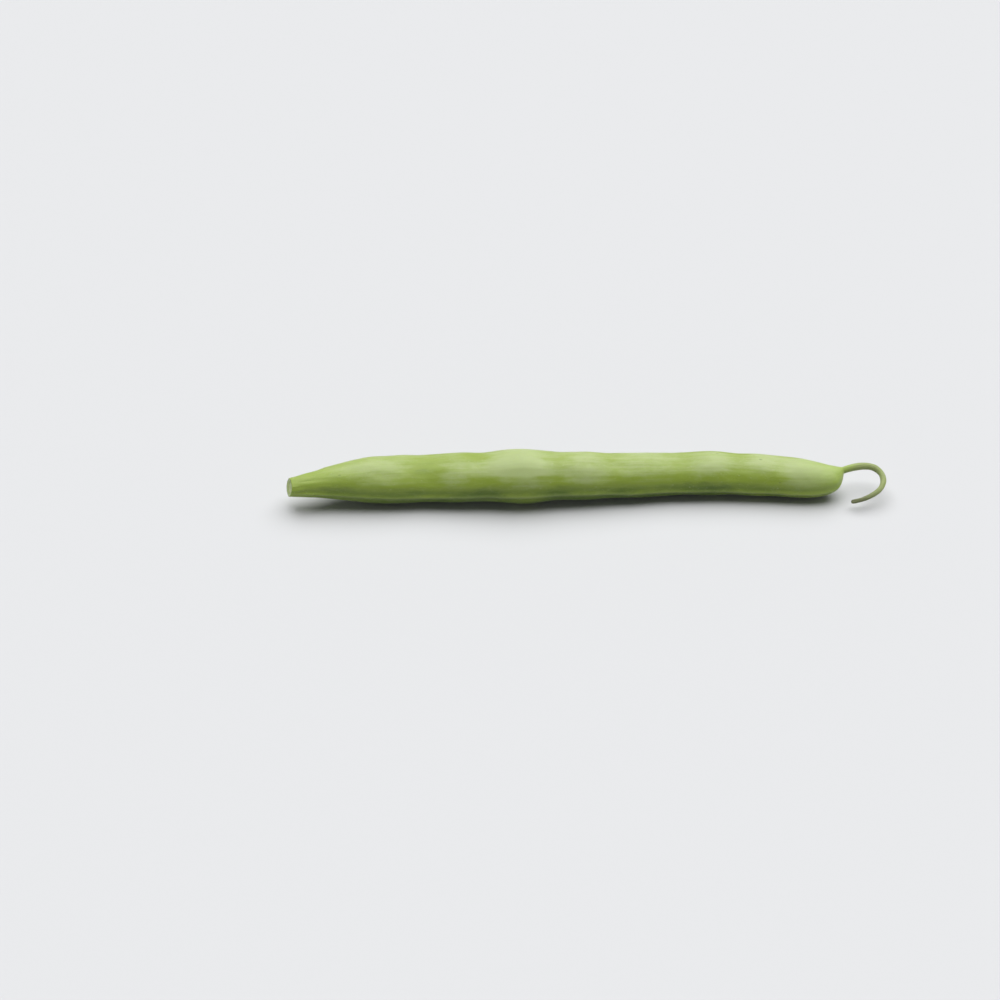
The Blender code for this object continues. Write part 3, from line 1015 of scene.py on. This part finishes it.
def cut_colour(share, place, base, on_cut, colours):
    """Pale flesh with a greener ring of fibres, a darker rim and a faint grain."""
    ring = bell(share, FIBRE_RING, RING_TINT_WIDTH) * RING_TINT + noise(place, "flesh grain") * FLESH_GRAIN
    flesh = tinted(tuple(colours.flesh), tuple(colours.skin), ring)
    flesh = tinted(flesh, tuple(colours.deep), rising(share, *RIM_TINT_SHARES) * RIM_TINT)
    flesh = tinted(flesh, tuple(colours.pale), bell(share, 0.0, HEART_WIDTH) * HEART_TINT)
    return tinted(base, flesh, on_cut)


def skin_material(pod, colours, length):
    """Satin skin of a fresh pod, a little translucent, with the cut face at its stem end."""
    material, tree, shader = new_material("bean_skin", SKIN_FINISH)
    place = attribute(tree, "straight", True)
    along, gap = attribute(tree, "along"), attribute(tree, "seam_gap")
    share, on_cut = attribute(tree, "section_share"), attribute(tree, "on_cut")
    on_pod = 1.0 - rising(along, pod.length - TINTS_STOP, pod.length)

    base = skin_green(place, attribute(tree, "seed_swell"), colours, pod.length)
    breaks = noise(place, "seam breaks") * SEAM_BREAKS
    seam = bell(gap, 0.0, SEAM_HALF_ANGLE * TINT_NEARNESS) * ((1 - SEAM_BREAKS) + breaks)
    base = tinted(base, tuple(colours.seam), seam * on_pod * SEAM_TINT)
    groove = bell(gap, GROOVE_ANGLE * TINT_NEARNESS, GROOVE_HALF_ANGLE)
    base = tinted(base, tuple(colours.deep), groove * on_pod * GROOVE_TINT)
    base = skin_veins(place, base, colours, on_pod * VEIN_AMOUNT)
    base = skin_specks(place, base, colours)
    base = end_tints(along, place, base, colours, pod.length, length)
    base = cut_colour(share, place, base, on_cut, colours)
    tree.links.new(base.socket, shader.inputs["Base Color"])

    dull = rising(along, pod.length, pod.length + ROUGH_TAIL_START) * TAIL_ROUGHNESS + on_cut * CUT_ROUGHNESS
    roughness = noise(place, "haze") * HAZE_ROUGHNESS + dull + SKIN_ROUGHNESS
    tree.links.new(roughness.socket, shader.inputs["Roughness"])

    fine = noise(place, "pores") * PORE_DEPTH + noise(place, "lines") * LINE_DEPTH
    height = fine + noise(place, "ripples") * RIPPLE_DEPTH * on_pod
    bump = wire(tree, "ShaderNodeBump", {"Strength": 1.0, "Distance": 1.0, "Height": height})
    tree.links.new(bump.socket, shader.inputs["Normal"])
    shader.subsurface_method = "RANDOM_WALK"
    return material


def down_material(colour):
    """Pale hairs, some a little darker than others."""
    material, tree, shader = new_material("bean_down", {"Roughness": 0.5})
    tone = (attribute(tree, "along") * HAIR_TONE_WAVES).math("SINE") * 0.5 + 0.5
    darker = tuple(channel * DARKER_HAIR for channel in colour[:3]) + (1.0,)
    shade = tinted(tuple(colour), darker, tone)
    tree.links.new(shade.socket, shader.inputs["Base Color"])
    return material


def floor_material(colour):
    """Matte pale floor."""
    material, _, _ = new_material("pale_floor", {"Base Color": colour, **FLOOR_FINISH})
    return material


class BEAN_OT_make_skin(Operator):
    """Sweeps the pod's skin, with its seams, swells, cut face and tail"""

    bl_idname = "bean.make_skin"
    bl_label = "Make skin"

    def execute(self, context):
        pod, colours = context.scene.bean_pod, context.scene.bean_colours
        line, length = spine(pod)
        skin = grown("bean_skin", line, sweep_tree(), {
            "Rings": len(line.vertices),
            "Sides": SIDES,
            "Seam height": pod.seam_height,
            "Groove depth": pod.groove_depth,
            "Unevenness": pod.unevenness,
            "Fibre height": pod.fibre_height,
            "Fold height": pod.fold_height,
            "Pod length": pod.length,
            "Box middle": (POD_BOX[0] + POD_BOX[1]) / 2,
            "Rest flat": REST_FLAT,
            "Seed": pod.seed,
            "Skin": skin_material(pod, colours, length),
        })
        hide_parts("pod")
        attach(skin, "root")
        return {"FINISHED"}


class BEAN_OT_make_down(Operator):
    """Grows the short down on the skin"""

    bl_idname = "bean.make_down"
    bl_label = "Make down"

    def execute(self, context):
        down = context.scene.bean_down
        skin = bpy.data.objects["bean_skin"]
        hairs = grown("bean_down", skin.data.copy(), down_tree(), {
            "Hairs per square metre": down.density / MM**2,
            "Hair length": down.length,
            "Hair radius": down.radius,
            "Seed": down.seed,
            "Down": down_material(down.colour),
        })
        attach(hairs, "root")
        return {"FINISHED"}


class BEAN_OT_make_stage(Operator):
    """Lays the pale floor and sets the soft light and the photograph's camera"""

    bl_idname = "bean.make_stage"
    bl_label = "Make stage"

    def execute(self, context):
        stage = context.scene.bean_stage
        make_floor(stage)
        make_light(stage)
        make_camera()
        return {"FINISHED"}


def make_floor(stage):
    """A square floor just below the surface that the bean lies on."""
    half = stage.floor_size / 2
    mesh = bpy.data.meshes.new("floor")
    corners = [(-half, -half), (half, -half), (half, half), (-half, half)]
    mesh.from_pydata([(x, y, FLOOR_LEVEL) for x, y in corners], [], [(0, 1, 2, 3)])
    mesh.materials.append(floor_material(stage.floor_colour))
    floor = bpy.data.objects.new("floor", mesh)
    bpy.context.scene.collection.objects.link(floor)


def make_light(stage):
    """One broad light overhead and a little behind, and an even pale room."""
    light = bpy.data.lights.new("key", "SUN")
    light.energy = stage.key_strength
    light.angle = stage.key_spread
    key = bpy.data.objects.new("key", light)
    key.rotation_euler = KEY_TURN
    bpy.context.scene.collection.objects.link(key)

    world = bpy.data.worlds.new("studio")
    world.use_nodes = True
    background = world.node_tree.nodes["Background"]
    background.inputs["Color"].default_value = ROOM_COLOUR
    upward = components(wire(world.node_tree, "ShaderNodeTexCoord"))[2]
    above = rising(upward, *HORIZON_BAND)
    strength = (1.0 - above) * stage.horizon_strength + above * stage.room_strength
    world.node_tree.links.new(strength.socket, background.inputs["Strength"])
    bpy.context.scene.world = world
    bpy.context.scene.view_settings.view_transform = "Standard"


def make_camera():
    """Looks down at the photograph's angle, so that the bean fills the same part of the frame."""
    data = bpy.data.cameras.new("camera")
    data.sensor_width = SENSOR_WIDTH
    data.lens = CAMERA_LENS
    camera = bpy.data.objects.new("camera", data)
    away = Vector((0, -math.cos(CAMERA_ELEVATION), math.sin(CAMERA_ELEVATION)))
    camera.location = CAMERA_AIM + away * CAMERA_DISTANCE
    camera.rotation_euler = (math.pi / 2 - CAMERA_ELEVATION, 0, 0)
    bpy.context.scene.collection.objects.link(camera)
    bpy.context.scene.camera = camera


class BEAN_PT_sidebar(Panel):
    """Lists the bean's pieces and their settings"""

    bl_label = "Green bean"
    bl_idname = "BEAN_PT_sidebar"
    bl_space_type = "VIEW_3D"
    bl_region_type = "UI"
    bl_category = "Bean"

    def draw(self, context):
        for operator, group in STEPS:
            self.layout.operator(operator)
            box = self.layout.box()
            settings = getattr(context.scene, group)
            for name in settings.__annotations__:
                box.prop(settings, name)


GROUPS = {
    "bean_pod": PodSettings,
    "bean_colours": ColourSettings,
    "bean_down": DownSettings,
    "bean_stage": StageSettings,
}
STEPS = [
    ("bean.make_skin", "bean_pod"),
    ("bean.make_down", "bean_down"),
    ("bean.make_stage", "bean_stage"),
]
OPERATORS = (BEAN_OT_make_skin, BEAN_OT_make_down, BEAN_OT_make_stage)


def register():
    for group in GROUPS.values():
        bpy.utils.register_class(group)
    for name, group in GROUPS.items():
        setattr(bpy.types.Scene, name, PointerProperty(type=group))
    for item in (*OPERATORS, BEAN_PT_sidebar):
        bpy.utils.register_class(item)


def unregister():
    for item in (BEAN_PT_sidebar, *reversed(OPERATORS)):
        bpy.utils.unregister_class(item)
    for name in GROUPS:
        delattr(bpy.types.Scene, name)
    for group in reversed(GROUPS.values()):
        bpy.utils.unregister_class(group)


def main():
    """Registers the add-on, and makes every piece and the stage."""
    register()
    bpy.ops.bean.make_skin()
    bpy.ops.bean.make_down()
    bpy.ops.bean.make_stage()


if __name__ == "__main__":
    main()
